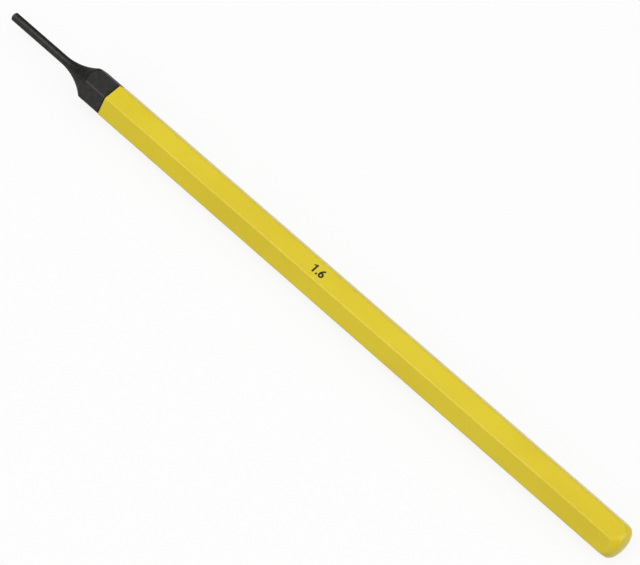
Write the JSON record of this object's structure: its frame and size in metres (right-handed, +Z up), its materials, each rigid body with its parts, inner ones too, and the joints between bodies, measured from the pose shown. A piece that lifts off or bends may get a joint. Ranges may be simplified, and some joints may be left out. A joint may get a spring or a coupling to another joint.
{
  "type": "pin punch",
  "caption": "Solid hexagonal pin punch: a thin straight pin, a hollow turned neck, an enamelled shank and a domed struck end.",
  "frame": {"origin": "on the surface that the punch lies on, below the middle of its overall length", "axes": "+X along the punch from the pin's end to the struck end, +Z up from the flat that it lies on, +Y across it"},
  "size_m": [0.14, 0.007, 0.0062],
  "materials": {
    "black_steel": "black oxide, satin",
    "yellow_enamel": "gloss enamel"
  },
  "bodies": {
    "root": {"pin_end": "black_steel", "hex_shank": "black_steel", "shank_coat": "yellow_enamel"}
  },
  "joints": []
}
